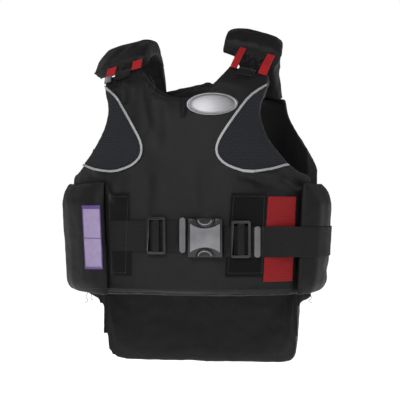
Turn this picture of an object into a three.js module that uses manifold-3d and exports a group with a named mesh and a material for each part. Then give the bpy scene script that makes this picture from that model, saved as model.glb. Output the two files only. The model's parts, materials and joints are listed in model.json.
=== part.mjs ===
// Equestrian body protector, in the form it keeps when worn. Millimetres, +Z up, front towards -Y.
// The origin is the middle of the line where the vest sits on the shoulders. Left is the wearer's, +X.
import * as THREE from 'three';
import { mergeVertices } from 'three/addons/utils/BufferGeometryUtils.js';
import Module from 'manifold-3d';

const wasm = await Module();
wasm.setup();

// Driving dimensions: the space inside the vest
const CHEST_HALF_WIDTH = 175;
const CHEST_DEPTH_FRONT = 116;
const CHEST_DEPTH_BACK = 106;
const FORM_LENGTH = 500;
const CHEST_SQUARENESS = 2.4;
const SHOULDER_SLOPE = THREE.MathUtils.degToRad(13);
const SLOPE_FADE_START = 30;
const SLOPE_FADE_END = 190;

// Driving dimensions: walls and cloth
const FRONT_FOAM = 22;
const BACK_FOAM = 22;
const SIDE_FOAM = { left: 22, right: 18 };
const SHOULDER_FOAM = 24;
const TRIM_THICKNESS = 1.2;
const PIPING_THICKNESS = 2.6;
const PIPING_WIDTH = 3.4;
const ELASTIC_THICKNESS = 1.8;
const TAB_THICKNESS = 2.2;
const WEBBING_THICKNESS = 1.8;
const CLEARANCE = 0.4;

// Driving dimensions: the outlines
const FRONT_LENGTH = 373;
const HEM_RISE = 2;
const TAIL_LENGTH = 500;
const TAIL_HALF_WIDTH = 166;
const NECK_HALF_WIDTH = 74;
const NECK_DIP = 61;
const STRAP_OUTER_EDGE = 131;
const STRAP_CENTRE = 100;
const STRAP_TOP = 34;
const ARMHOLE_DEPTH = 187;
const PANEL_SIDE_EDGE = 174;

// Driving dimensions: side panels
const SIDE_TOP = 192;
const SIDE_BOTTOM = 372;
const SIDE_FRONT_EDGE = { left: 156, right: 105 };
const SIDE_BACK_EDGE = 138;
const SIDE_ROUNDING = { side: 26, end: 12 };
const SIDE_RIM_SHARE = 0.46;

// Driving dimensions: the waist
const BELT_DROP = { left: 285, right: 277 };
const BELT_WIDTH = 47;
const BELT_RISE = 20;
const BELT_RISE_END = 12;
const BELT_END = 6;
const WAIST_TAB = {
  left: { top: [76, 122], foot: [69.5, 119.5], topDrop: 213, footDrop: 338 },
  right: { top: [75, 104.6], foot: [74, 104.6], topDrop: 213, footDrop: 338 },
};
const WAIST_ELASTIC = { top: [122.8, 155.6], foot: [120.2, 155.6], topDrop: 217, footDrop: 346 };

// Driving dimensions: the belt's hard parts
const SLIDER_SEAT = 1.3;
const BUCKLE_PLACE = { across: 41, drop: 279 };
const BUCKLE_LENGTH = 52;
const BELT_STOP = 25.7;
const BUCKLE_HEIGHT = 58;
const BUCKLE_THICKNESS = 12;
const BUCKLE_NOTCH = 14;
const BUCKLE_PLATE = { length: 45, height: 43, waist: 0.3, thickness: 1.5 };
const SLIDER_LENGTH = 30;
const SLIDER_HEIGHT = 56;
const SLIDER_THICKNESS = 3.6;
const SLIDER_BAR = 6;
const SLIDER_PLACE = { left: { across: 89, drop: 281 }, right: { across: -32, drop: 276 } };
const BAR_LENGTH = 9;
const BAR_HEIGHT = { left: 47, right: 53 };
const BAR_THICKNESS = 5;
const BAR_PLACE = { left: { across: 109.5, drop: 285 }, right: { across: 8, drop: 275 } };

// Driving dimensions: shoulders
const SHOULDER_SPAN = { left: [50, 146], right: [60, 150] };
const SHOULDER_BACK_SPAN = [64, 124];
const SHOULDER_BACK_EDGE = 58;
const SHOULDER_FRONT_EDGE = { left: 11, right: 28 };
const SHOULDER_ROLL = { left: 20, right: 6 };
const SHOULDER_RIM_SHARE = 0.35;
const SHOULDER_END_ROUNDING = 0.16;
const SHOULDER_TRIMS = {
  left: {
    inner: { top: [80, 90], foot: [68.5, 78.5], topDrop: 11.4, footDrop: 40 },
    outer: { top: [123.5, 135], foot: [109, 121], topDrop: 11.4, footDrop: 40 },
    tab: { top: [92, 121.5], foot: [79, 102], topDrop: 11.4, footDrop: 47 },
  },
  right: {
    inner: { top: [66, 81], foot: [65, 80], topDrop: 28.4, footDrop: 40 },
    outer: { top: [108, 123], foot: [107, 122], topDrop: 28.4, footDrop: 40 },
    tab: { top: [82, 107], foot: [81, 106], topDrop: 28.4, footDrop: 47 },
  },
};
const KEEPER = { top: [111, 123], foot: [111, 123], topDrop: 40.4, footDrop: 48 };

// Driving dimensions: badge and label
const BADGE_LENGTH = 80;
const BADGE_HEIGHT = 35;
const BADGE_THICKNESS = 2;
const BADGE_PLACE = { across: 48, drop: 77 };
const LABEL_WIDTH = 23;
const LABEL_HEIGHT = 98;
const LABEL_PLACE = { across: 121, drop: 279 };

// Facets
const COLUMNS_PER_QUARTER = 10;

// The body form from the shoulder line down: lengths are shares of the form's named sizes
const SECTIONS = [
  { drop: 0, width: 0.93, front: 0, back: 0, steps: 2 },
  { drop: 0.014, width: 0.94, front: 0.29, back: 0.34, steps: 1 },
  { drop: 0.05, width: 0.96, front: 0.55, back: 0.64, steps: 1 },
  { drop: 0.12, width: 0.985, front: 0.78, back: 0.9, steps: 2 },
  { drop: 0.24, width: 1, front: 0.93, back: 1, steps: 3 },
  { drop: 0.39, width: 1, front: 1, back: 0.94, steps: 3 },
  { drop: 0.58, width: 0.965, front: 0.99, back: 0.87, steps: 3 },
  { drop: 0.756, width: 0.94, front: 0.97, back: 0.87, steps: 2 },
  { drop: 0.86, width: 0.94, front: 0.95, back: 0.89, steps: 2 },
  { drop: 1.04, width: 0.95, front: 0.93, back: 0.91, steps: 0 },
];

// Outlines of the armholes, front and back: shares of the strap's outer edge and the armhole's depth
const ARMHOLE = [
  { edge: 1, drop: 0.05 }, { edge: 1, drop: 0.17 }, { edge: 0.985, drop: 0.294 },
  { edge: 0.927, drop: 0.455 }, { edge: 0.977, drop: 0.604 }, { edge: 1.076, drop: 0.738 },
  { edge: 1.248, drop: 0.893 }, { edge: 1.42, drop: 0.985 }, { edge: 1.62, drop: 1.03 },
];
const BACK_ARMHOLE = [
  { edge: 1.053, drop: 0.16 }, { edge: 1.05, drop: 0.32 }, { edge: 1.09, drop: 0.45 },
  { edge: 1.168, drop: 0.556 }, { edge: 1.351, drop: 0.765 }, { edge: 1.5, drop: 0.93 },
  { edge: 1.6, drop: 1 },
];

// Neckline of the front panel: shares of the neck's half-width and of its dip below the shoulder
const NECKLINE = [
  { across: 0, drop: 1 }, { across: 0.2, drop: 0.985 }, { across: 0.38, drop: 0.905 },
  { across: 0.635, drop: 0.69 }, { across: 0.82, drop: 0.44 }, { across: 0.96, drop: 0.17 },
  { across: 1, drop: 0 },
];

// Outline of the tail: shares of its half-width and length
const TAIL_EDGE = [
  { across: 1, drop: 0.776 }, { across: 0.976, drop: 0.86 }, { across: 0.948, drop: 0.94 },
  { across: 0.904, drop: 0.974 }, { across: 0.81, drop: 0.99 }, { across: 0.5, drop: 0.998 },
  { across: 0, drop: 1 },
];

// Edge of the mesh inset, where the piping runs: shares of the strap's edge and the armhole's depth
const INSET_EDGE = [
  { across: 1.06, drop: 0.228 }, { across: 0.95, drop: 0.262 }, { across: 0.8, drop: 0.345 },
  { across: 0.685, drop: 0.455 }, { across: 0.56, drop: 0.59 }, { across: 0.466, drop: 0.705 },
  { across: 0.439, drop: 0.786 }, { across: 0.477, drop: 0.856 }, { across: 0.588, drop: 0.917 },
  { across: 0.785, drop: 0.957 }, { across: 1.015, drop: 0.943 }, { across: 1.23, drop: 0.9 },
  { across: 1.4, drop: 0.86 },
];

// Folds pressed into the foam: places are shares of chest half-width and front length, the rest of foam
const FRONT_FOLDS = [
  { fromAcross: 0.02, fromDrop: 0.16, toAcross: 0.04, toDrop: 0.36, width: 0.5, depth: 0.14 },
  { fromAcross: -0.62, fromDrop: 0.08, toAcross: -0.6, toDrop: 0.19, width: 0.4, depth: 0.2 },
  { fromAcross: -0.46, fromDrop: 0.1, toAcross: -0.35, toDrop: 0.3, width: 0.5, depth: 0.18 },
  { fromAcross: -0.27, fromDrop: 0.46, toAcross: -0.3, toDrop: 0.62, width: 0.6, depth: 0.12 },
  { fromAcross: 0.24, fromDrop: 0.45, toAcross: 0.27, toDrop: 0.6, width: 0.6, depth: 0.12 },
  { fromAcross: 0.62, fromDrop: 0.49, toAcross: 1.06, toDrop: 0.56, width: 0.6, depth: 0.24 },
  { fromAcross: -0.82, fromDrop: 0.51, toAcross: -0.7, toDrop: 0.6, width: 0.5, depth: 0.2 },
];

const SIDES = { left: 1, right: -1 };

// Places on the body form
function smoothRow(position, column) {
  const index = Math.min(Math.max(Math.floor(position), 0), SECTIONS.length - 2);
  const share = position - index;
  const mirrored = column === 'drop' || column === 'width' ? 1 : -1;
  const before = index === 0 ? mirrored * SECTIONS[1][column] : SECTIONS[index - 1][column];
  const after = SECTIONS[Math.min(index + 2, SECTIONS.length - 1)][column];
  const start = SECTIONS[index][column];
  const end = SECTIONS[index + 1][column];
  const startSlope = (end - before) / 2;
  const endSlope = (after - start) / 2;
  const cube = share ** 3;
  const square = share ** 2;
  return (2 * cube - 3 * square + 1) * start + (cube - 2 * square + share) * startSlope
    + (3 * square - 2 * cube) * end + (cube - square) * endSlope;
}

function formPoint(angle, position) {
  const drop = FORM_LENGTH * smoothRow(position, 'drop');
  const halfWidth = CHEST_HALF_WIDTH * smoothRow(position, 'width');
  const facesFront = Math.cos(angle) > 0;
  const depth = facesFront
    ? CHEST_DEPTH_FRONT * smoothRow(position, 'front')
    : CHEST_DEPTH_BACK * smoothRow(position, 'back');
  const power = 2 / CHEST_SQUARENESS;
  const across = Math.sign(Math.sin(angle)) * halfWidth * Math.abs(Math.sin(angle)) ** power;
  const forward = Math.sign(Math.cos(angle)) * depth * Math.abs(Math.cos(angle)) ** power;
  const fade = 1 - THREE.MathUtils.smoothstep(drop, SLOPE_FADE_START, SLOPE_FADE_END);
  const slope = Math.tan(SHOULDER_SLOPE) * (Math.abs(across) - STRAP_CENTRE) * fade;
  return new THREE.Vector3(across, -forward, -drop - slope);
}

function formNormal(angle, position) {
  const step = 1e-3;
  const clear = Math.max(position, step);
  const around = formPoint(angle + step, clear).sub(formPoint(angle - step, clear));
  const down = formPoint(angle, clear + step).sub(formPoint(angle, clear - step));
  return down.cross(around).normalize();
}

// The row whose height is a given drop below the shoulder line
function rowAt(drop) {
  let low = 0;
  let high = SECTIONS.length - 1;
  for (let turn = 0; turn < 40; turn += 1) {
    const middle = (low + high) / 2;
    if (FORM_LENGTH * smoothRow(middle, 'drop') < drop) low = middle;
    else high = middle;
  }
  return (low + high) / 2;
}

// The angle round the form of a place across it, at the chest's full width
function angleAt(across, atBack = false) {
  const share = Math.min(Math.abs(across) / CHEST_HALF_WIDTH, 1);
  const angle = Math.asin(share ** (CHEST_SQUARENESS / 2));
  return Math.sign(across) * (atBack ? Math.PI - angle : angle);
}

// The facets' grid, the same for every layer so that faces lie parallel
function quarterAngles(depth) {
  const samples = 300;
  const power = 2 / CHEST_SQUARENESS;
  const lengths = [0];
  const place = (turn) => new THREE.Vector2(
    CHEST_HALF_WIDTH * Math.sin(turn) ** power, depth * Math.max(Math.cos(turn), 0) ** power);
  for (let index = 1; index <= samples; index += 1) {
    const turn = (index / samples) * (Math.PI / 2);
    const before = ((index - 1) / samples) * (Math.PI / 2);
    lengths.push(lengths[index - 1] + place(turn).distanceTo(place(before)));
  }
  const angles = [];
  for (let column = 0; column < COLUMNS_PER_QUARTER; column += 1) {
    const wanted = (column / COLUMNS_PER_QUARTER) * lengths[samples];
    const index = lengths.findIndex((length) => length >= wanted);
    angles.push((index / samples) * (Math.PI / 2));
  }
  return angles;
}

// Even steps, with every named edge on a line of its own, so that all layers share each facet line
function sharedGrid(even, edges, nearest) {
  const apart = (value, other) => Math.abs(value - other) > nearest;
  const kept = even.filter((value) => edges.every((edge) => apart(value, edge)));
  const sorted = [...kept, ...edges].sort((one, other) => one - other);
  return sorted.filter((value, index) => index === 0 || value - sorted[index - 1] > 1e-7);
}

const FRONT_QUARTER = quarterAngles(CHEST_DEPTH_FRONT);
const BACK_QUARTER = quarterAngles(CHEST_DEPTH_BACK);
const roundTheRing = (angle) => [angle, -angle, 2 * Math.PI - angle];
const EVEN_COLUMNS = [...FRONT_QUARTER, Math.PI / 2, ...BACK_QUARTER.map((angle) => Math.PI - angle)];
const EDGE_COLUMNS = [
  angleAt(SIDE_FRONT_EDGE.left - BELT_RISE_END - BELT_RISE),
  ...[PANEL_SIDE_EDGE, ...Object.values(SIDE_FRONT_EDGE)].map((across) => angleAt(across)),
  ...[PANEL_SIDE_EDGE, SIDE_BACK_EDGE].map((across) => angleAt(across, true)),
];
const RING_COLUMNS = sharedGrid(
  EVEN_COLUMNS.flatMap(roundTheRing), EDGE_COLUMNS.flatMap(roundTheRing), 0.02);
const EVEN_ROWS = SECTIONS.flatMap((section, index) =>
  Array.from({ length: section.steps }, (_, step) => index + step / section.steps));
const beltEdges = (drop) => [drop - BELT_WIDTH / 2, drop + BELT_WIDTH / 2];
const EDGE_DROPS = [
  ...Object.values(SHOULDER_FRONT_EDGE), STRAP_TOP, SHOULDER_BACK_EDGE, SIDE_TOP, SIDE_BOTTOM,
  ...Object.values(BELT_DROP).flatMap(beltEdges),
];
const FORM_ROWS = sharedGrid(EVEN_ROWS, EDGE_DROPS.map(rowAt), 0.06);
const MERGED = 1e-6;

// The grid's lines from one value to another, with those two as its first and last
function spread(grid, start, end) {
  const between = grid.filter((value) => value > start + MERGED && value < end - MERGED);
  return [start, ...between, end];
}

// A closed skin over a grid of points, each an inner and an outer one; columns run towards +X, rows down
function closedGrid(points, wide, tall) {
  const indices = [];
  const at = (column, row) => 2 * (column * tall + row);
  const wall = (from, to) => indices.push(to + 1, from + 1, from, to + 1, from, to);
  for (let column = 0; column < wide - 1; column += 1) {
    for (let row = 0; row < tall - 1; row += 1) {
      const [first, second, third, fourth] = [at(column, row), at(column, row + 1),
        at(column + 1, row + 1), at(column + 1, row)];
      indices.push(first + 1, second + 1, third + 1, first + 1, third + 1, fourth + 1);
      indices.push(first, third, second, first, fourth, third);
      if (column === 0) wall(first, second);
      if (row === tall - 2) wall(second, third);
      if (column === wide - 2) wall(third, fourth);
      if (row === 0) wall(fourth, first);
    }
  }
  const geometry = new THREE.BufferGeometry();
  geometry.setAttribute('position', new THREE.Float32BufferAttribute(
    points.flatMap((point) => point.toArray()), 3));
  geometry.setIndex(indices);
  return geometry;
}

function standOff(angle, row, standoff) {
  const base = formPoint(angle, row);
  return formNormal(angle, row).multiplyScalar(standoff(base, angle, row)).add(base);
}

// A padded or flat layer over the form, between two standoffs
function layerGeometry({ angles, rows, inner, outer }) {
  const points = angles.flatMap((angle) => rows.flatMap((row) => [
    standOff(angle, row, inner), standOff(angle, row, outer)]));
  return closedGrid(points, angles.length, rows.length);
}

const level = (standoff) => () => standoff;

// Cutting and joining
function toSolid(geometry) {
  const bare = geometry.clone();
  bare.deleteAttribute('normal');
  bare.deleteAttribute('uv');
  const merged = mergeVertices(bare, 1e-4);
  return new wasm.Manifold(new wasm.Mesh({
    numProp: 3,
    vertProperties: merged.attributes.position.array,
    triVerts: new Uint32Array(merged.index.array),
  }));
}

function toGeometry(solid) {
  const mesh = solid.getMesh();
  const geometry = new THREE.BufferGeometry();
  geometry.setAttribute('position', new THREE.BufferAttribute(mesh.vertProperties, 3));
  geometry.setIndex(new THREE.BufferAttribute(mesh.triVerts, 1));
  return geometry;
}

// A flat outline, drawn as seen from the front, made a plate from one depth to another
function plate(shape, fromY, toY, curveSegments = 12) {
  const depth = toY - fromY;
  const geometry = new THREE.ExtrudeGeometry(shape, { depth, bevelEnabled: false, curveSegments });
  return geometry.rotateX(Math.PI / 2).translate(0, toY, 0);
}

function outlineShape(points) {
  return new THREE.Shape(points.map(([across, height]) => new THREE.Vector2(across, height)));
}

function smoothLine(points, divisions) {
  const curve = new THREE.SplineCurve(points.map(([across, height]) => new THREE.Vector2(across, height)));
  return curve.getPoints(divisions).map((point) => [point.x, point.y]);
}

const mirror = (points) => points.map(([across, height]) => [-across, height]).reverse();
const REACH = 400;

function cutFront(geometry, ...shapes) {
  let solid = toSolid(geometry);
  for (const shape of shapes) solid = solid.intersect(toSolid(plate(shape, -REACH, 0)));
  return toGeometry(solid);
}

function cutBack(geometry, shape) {
  return toGeometry(toSolid(geometry).intersect(toSolid(plate(shape, 0, REACH))));
}

// Materials
const cloth = (color, roughness) => new THREE.MeshStandardMaterial({ color, roughness, metalness: 0 });
const nylon = () => cloth('#222226', 0.85);
const sideNylon = () => cloth('#1a1a1a', 0.85);
const meshCloth = () => cloth('#1d1f24', 0.95);
const hookCloth = () => cloth('#101012', 0.95);
const redElastic = () => cloth('#8c1216', 0.8);
const webbingCloth = () => cloth('#161614', 0.8);
const reflectiveCloth = () => cloth('#8e8e8e', 0.45);
const labelCloth = () => cloth('#b7a9c4', 0.7);
const blackPlastic = () => cloth('#1a1a1c', 0.4);
const greyPlastic = () => cloth('#8a8a8c', 0.4);
const brushedSilver = () => new THREE.MeshStandardMaterial({
  color: '#b4b4b6', roughness: 0.35, metalness: 0.9,
});

const vest = new THREE.Group();
vest.name = 'body_protector';

function addPiece(name, geometry, material, parent = vest) {
  const mesh = new THREE.Mesh(geometry, material);
  mesh.name = name;
  parent.add(mesh);
  return mesh;
}

// Front panel: padded, with neckline, armholes and a slightly bowed hem
function distanceToFold(point, fold) {
  const start = new THREE.Vector2(fold.fromAcross * CHEST_HALF_WIDTH, -fold.fromDrop * FRONT_LENGTH);
  const end = new THREE.Vector2(fold.toAcross * CHEST_HALF_WIDTH, -fold.toDrop * FRONT_LENGTH);
  const along = end.clone().sub(start);
  const place = new THREE.Vector2(point.x, point.z).sub(start);
  const share = THREE.MathUtils.clamp(place.dot(along) / along.lengthSq(), 0, 1);
  return place.sub(along.multiplyScalar(share)).length();
}

function foldDepth(point) {
  const pressed = FRONT_FOLDS.map((fold) => {
    const reach = distanceToFold(point, fold) / (fold.width * FRONT_FOAM);
    return fold.depth * FRONT_FOAM * Math.exp(-(reach ** 2));
  });
  return Math.max(...pressed);
}

const armholeShare = ({ edge, drop }) => [edge * STRAP_OUTER_EDGE, -drop * ARMHOLE_DEPTH];
const armholeLine = smoothLine(ARMHOLE.map(armholeShare), 20);
const necklinePoints = NECKLINE.map(({ across, drop }) => [across * NECK_HALF_WIDTH, -drop * NECK_DIP]);
const SIDE_REACH = CHEST_HALF_WIDTH + FRONT_FOAM + SIDE_FOAM.left;
const HEM_MARGIN = 12;
const hemLine = smoothLine([[SIDE_REACH, -FRONT_LENGTH + HEM_RISE],
  [CHEST_HALF_WIDTH / 2, -FRONT_LENGTH + HEM_RISE / 4], [0, -FRONT_LENGTH]], 6);
const halfFront = [...smoothLine(necklinePoints, 10), ...armholeLine, ...hemLine];
const frontOutline = outlineShape([...halfFront, ...mirror(halfFront).slice(1, -1)]);

function addFrontPanel() {
  const edge = angleAt(PANEL_SIDE_EDGE);
  const geometry = layerGeometry({
    angles: spread(RING_COLUMNS, -edge, edge),
    rows: spread(FORM_ROWS, rowAt(STRAP_TOP), rowAt(FRONT_LENGTH + HEM_MARGIN)),
    inner: level(0),
    outer: (point) => FRONT_FOAM - foldDepth(point),
  });
  addPiece('front_panel', cutFront(geometry, frontOutline), nylon());
}

// Back panel: wider armholes and the tail below the waist
function addBackPanel() {
  const tail = smoothLine(
    TAIL_EDGE.map(({ across, drop }) => [across * TAIL_HALF_WIDTH, -drop * TAIL_LENGTH]), 14);
  const half = [
    [0, 0],
    ...smoothLine(BACK_ARMHOLE.map(armholeShare), 12),
    [SIDE_REACH, -FRONT_LENGTH],
    ...tail,
  ];
  const edge = Math.abs(angleAt(PANEL_SIDE_EDGE, true));
  const geometry = layerGeometry({
    angles: spread(RING_COLUMNS, edge, 2 * Math.PI - edge),
    rows: spread(FORM_ROWS, rowAt(SHOULDER_BACK_EDGE), rowAt(TAIL_LENGTH + HEM_MARGIN)),
    inner: level(0),
    outer: level(BACK_FOAM),
  });
  addPiece('back_panel', cutBack(geometry, outlineShape([...half, ...mirror(half).slice(1, -1)])), nylon());
}

// Side panels: their outer face is rounded over towards the front, back, top and bottom edges
const SIDE_INNER = FRONT_FOAM + CLEARANCE;

function sideRounding(share) {
  const reached = THREE.MathUtils.clamp(share, 0, 1);
  return SIDE_RIM_SHARE + (1 - SIDE_RIM_SHARE) * Math.sqrt(reached * (2 - reached));
}

function sideOuter(side) {
  return (point, angle, row) => {
    const frontEdge = formPoint(angleAt(SIDE_FRONT_EDGE[side]), row);
    const backEdge = formPoint(angleAt(SIDE_BACK_EDGE, true), row);
    const place = new THREE.Vector3(Math.abs(point.x), point.y, point.z);
    const pastFront = Math.abs(angle) < angleAt(SIDE_FRONT_EDGE[side]);
    const pastBack = Math.abs(angle) > angleAt(SIDE_BACK_EDGE, true);
    const fromFront = pastFront ? 0 : place.distanceTo(frontEdge);
    const fromBack = pastBack ? 0 : place.distanceTo(backEdge);
    const fromSides = Math.min(fromFront, fromBack) / SIDE_ROUNDING.side;
    const fromEnds = Math.min(-point.z - SIDE_TOP, SIDE_BOTTOM + point.z) / SIDE_ROUNDING.end;
    return SIDE_INNER + SIDE_FOAM[side] * sideRounding(Math.min(fromSides, fromEnds));
  };
}

function addSidePanel(side) {
  const sign = SIDES[side];
  const ends = [sign * angleAt(SIDE_FRONT_EDGE[side]), sign * angleAt(SIDE_BACK_EDGE, true)];
  const geometry = layerGeometry({
    angles: spread(RING_COLUMNS, Math.min(...ends), Math.max(...ends)),
    rows: spread(FORM_ROWS, rowAt(SIDE_TOP), rowAt(SIDE_BOTTOM)),
    inner: level(SIDE_INNER),
    outer: sideOuter(side),
  });
  addPiece(`side_panel_${side}`, geometry, sideNylon());
}

// Trims lie on the foam
const ON_FOAM = FRONT_FOAM + CLEARANCE;
const TRIM_STRETCH = 0.2;

// A trim whose two long edges may slant: its places across the form at its top and at its foot
function slantedTrim(side, { top, foot, topDrop, footDrop }, thickness) {
  const reach = [...top, ...foot].map((across) => SIDES[side] * angleAt(across));
  const layer = layerGeometry({
    angles: spread(RING_COLUMNS, Math.min(...reach), Math.max(...reach)),
    rows: spread(FORM_ROWS, rowAt(topDrop), rowAt(footDrop)),
    inner: level(ON_FOAM),
    outer: level(ON_FOAM + thickness),
  });
  const corner = (edge, share) => {
    const across = THREE.MathUtils.lerp(top[edge], foot[edge], share);
    const drop = THREE.MathUtils.lerp(topDrop, footDrop, share);
    const point = standOff(angleAt(across), rowAt(drop), level(ON_FOAM));
    return [point.x, point.z];
  };
  const outline = [corner(0, -TRIM_STRETCH), corner(1, -TRIM_STRETCH),
    corner(1, 1 + TRIM_STRETCH), corner(0, 1 + TRIM_STRETCH)];
  return cutFront(layer, outlineShape(forSide(outline, side)));
}

// Mesh insets beside the armholes, with the reflective piping along their edge
const insetLine = smoothLine(
  INSET_EDGE.map(({ across, drop }) => [across * STRAP_OUTER_EDGE, -drop * ARMHOLE_DEPTH]), 26);

// A line moved sideways, to the right of its direction as seen from the front
function offsetLine(line, distance) {
  return line.map(([across, height], index) => {
    const before = line[Math.max(index - 1, 0)];
    const after = line[Math.min(index + 1, line.length - 1)];
    const along = new THREE.Vector2(after[0] - before[0], after[1] - before[1]).normalize();
    return [across - along.y * distance, height + along.x * distance];
  });
}

const bandShape = (line, halfWidth) => outlineShape([
  ...offsetLine(line, halfWidth), ...offsetLine(line, -halfWidth).reverse()]);

const forSide = (points, side) => (side === 'left' ? points : mirror(points));

const INSET_REACH = { across: 40, top: STRAP_TOP, bottom: 192 };

function trimLayer(side, thickness) {
  const ends = [INSET_REACH.across, PANEL_SIDE_EDGE].map((across) => SIDES[side] * angleAt(across));
  return layerGeometry({
    angles: spread(RING_COLUMNS, Math.min(...ends), Math.max(...ends)),
    rows: spread(FORM_ROWS, rowAt(INSET_REACH.top), rowAt(INSET_REACH.bottom)),
    inner: level(ON_FOAM),
    outer: level(ON_FOAM + thickness),
  });
}

function addInset(side) {
  const outline = outlineShape(forSide(offsetLine(insetLine, PIPING_WIDTH / 2 + CLEARANCE), side));
  const layer = trimLayer(side, TRIM_THICKNESS);
  addPiece(`mesh_inset_${side}`, cutFront(layer, outline, frontOutline), meshCloth());
}

function addPiping(side) {
  const band = bandShape(forSide(insetLine, side), PIPING_WIDTH / 2);
  addPiece(`piping_${side}`, cutFront(trimLayer(side, PIPING_THICKNESS), band, frontOutline),
    reflectiveCloth());
}

// Shoulders: a padded end over each shoulder, two elastic strips and a hook-and-loop tab
const ROLL_FADE_ROWS = 1.6;
const ROLL_RIM_ROWS = 0.5;

function shoulderOuter(side) {
  const frontRow = rowAt(SHOULDER_FRONT_EDGE[side]);
  return (point, angle, row) => {
    const onFront = point.y < 0 || row === 0;
    const share = onFront ? 1 : THREE.MathUtils.clamp(1 - row / ROLL_FADE_ROWS, 0, 1);
    const rim = onFront ? THREE.MathUtils.clamp((frontRow - row) / ROLL_RIM_ROWS, 0, 1) : 1;
    const swell = THREE.MathUtils.lerp(SHOULDER_RIM_SHARE, 1, rim);
    return SHOULDER_FOAM + SHOULDER_ROLL[side] * Math.sin((Math.PI / 2) * share) * swell;
  };
}

// A padded end runs from the back, over the shoulder line, down to the front
const SHOULDER_COLUMNS = 6;
const SHOULDER_INNER = 2;

function shoulderGeometry(side) {
  const backRows = spread(FORM_ROWS, 0, rowAt(SHOULDER_BACK_EDGE - CLEARANCE)).reverse();
  const frontRows = spread(FORM_ROWS, 0, rowAt(SHOULDER_FRONT_EDGE[side])).slice(1);
  const stations = [...backRows.map((row) => [row, true]), ...frontRows.map((row) => [row, false])];
  const outer = shoulderOuter(side);
  const points = [];
  for (let column = 0; column <= SHOULDER_COLUMNS; column += 1) {
    const edge = (2 * column) / SHOULDER_COLUMNS - 1;
    const rounded = 1 - SHOULDER_END_ROUNDING * edge ** 4;
    for (const [row, atBack] of stations) {
      const narrowing = atBack ? row / rowAt(SHOULDER_BACK_EDGE) : 0;
      const [inside, outside] = SHOULDER_SPAN[side].map(
        (across, end) => THREE.MathUtils.lerp(across, SHOULDER_BACK_SPAN[end], narrowing));
      const across = SIDES[side] * (inside + outside) / 2 + (edge * (outside - inside)) / 2;
      const angle = angleAt(across, atBack);
      points.push(standOff(angle, row, level(SHOULDER_INNER)));
      points.push(standOff(angle, row, (...place) => rounded * outer(...place)));
    }
  }
  return closedGrid(points, SHOULDER_COLUMNS + 1, stations.length);
}

function addShoulderTrims(side) {
  const { inner, outer, tab } = SHOULDER_TRIMS[side];
  addPiece(`shoulder_elastic_${side}_inner`, slantedTrim(side, inner, ELASTIC_THICKNESS), redElastic());
  addPiece(`shoulder_elastic_${side}_outer`, slantedTrim(side, outer, ELASTIC_THICKNESS), redElastic());
  addPiece(`shoulder_tab_${side}`, slantedTrim(side, tab, TAB_THICKNESS), hookCloth());
}

// Badge on the chest and label on the right side panel, both bare
function addBadge() {
  const outline = new THREE.Shape();
  outline.absellipse(BADGE_PLACE.across, -BADGE_PLACE.drop, BADGE_LENGTH / 2, BADGE_HEIGHT / 2,
    0, 2 * Math.PI, false);
  const reach = BADGE_LENGTH / 2;
  const layer = layerGeometry({
    angles: spread(RING_COLUMNS, angleAt(BADGE_PLACE.across - reach), angleAt(BADGE_PLACE.across + reach)),
    rows: spread(FORM_ROWS, rowAt(BADGE_PLACE.drop - BADGE_HEIGHT), rowAt(BADGE_PLACE.drop + BADGE_HEIGHT)),
    inner: level(ON_FOAM),
    outer: level(ON_FOAM + BADGE_THICKNESS),
  });
  addPiece('badge', cutFront(layer, outline), brushedSilver());
}

function addLabel() {
  const angles = [LABEL_PLACE.across + LABEL_WIDTH / 2, LABEL_PLACE.across - LABEL_WIDTH / 2].map(
    (across) => -angleAt(across));
  const panelFace = sideOuter('right');
  addPiece('side_label', layerGeometry({
    angles: spread(RING_COLUMNS, ...angles),
    rows: spread(FORM_ROWS, rowAt(LABEL_PLACE.drop - LABEL_HEIGHT / 2),
      rowAt(LABEL_PLACE.drop + LABEL_HEIGHT / 2)),
    inner: (...place) => panelFace(...place) + CLEARANCE,
    outer: (...place) => panelFace(...place) + CLEARANCE + TRIM_THICKNESS,
  }), labelCloth());
}

// Waist: a hook-and-loop tab on each side, and a red elastic between the left tab and the side panel
function addWaistTrims() {
  addPiece('waist_tab_left', slantedTrim('left', WAIST_TAB.left, TAB_THICKNESS), hookCloth());
  addPiece('waist_tab_right', slantedTrim('right', WAIST_TAB.right, TAB_THICKNESS), hookCloth());
  addPiece('waist_elastic_left', slantedTrim('left', WAIST_ELASTIC, ELASTIC_THICKNESS), redElastic());
}

// The belt lies on the tabs: its left end climbs over the side panel, its right end is held under the other
const OVER_TABS = ON_FOAM + TAB_THICKNESS + CLEARANCE;
const leftPanelFace = sideOuter('left');

function acrossOf(angle) {
  const share = Math.abs(Math.sin(angle)) ** (2 / CHEST_SQUARENESS);
  return Math.cos(angle) < 0 ? CHEST_HALF_WIDTH : CHEST_HALF_WIDTH * share;
}

function climbingBelt(point, angle, row) {
  const end = SIDE_FRONT_EDGE.left - BELT_RISE_END;
  const climb = THREE.MathUtils.smoothstep(acrossOf(angle), end - BELT_RISE, end);
  return THREE.MathUtils.lerp(OVER_TABS, leftPanelFace(point, angle, row) + CLEARANCE, climb);
}

function beltPiece(side, fromAngle, toAngle, inner) {
  const [top, foot] = beltEdges(BELT_DROP[side]);
  addPiece(`belt_${side}`, layerGeometry({
    angles: spread(RING_COLUMNS, fromAngle, toAngle),
    rows: spread(FORM_ROWS, rowAt(top), rowAt(foot)),
    inner,
    outer: (...place) => inner(...place) + WEBBING_THICKNESS,
  }), webbingCloth());
}

function addBelt() {
  beltPiece('left', angleAt(BUCKLE_PLACE.across + BELT_STOP), angleAt(SIDE_BACK_EDGE + BELT_END, true),
    climbingBelt);
  beltPiece('right', -angleAt(SIDE_FRONT_EDGE.right - CLEARANCE),
    angleAt(BUCKLE_PLACE.across - BELT_STOP), level(OVER_TABS));
}

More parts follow.
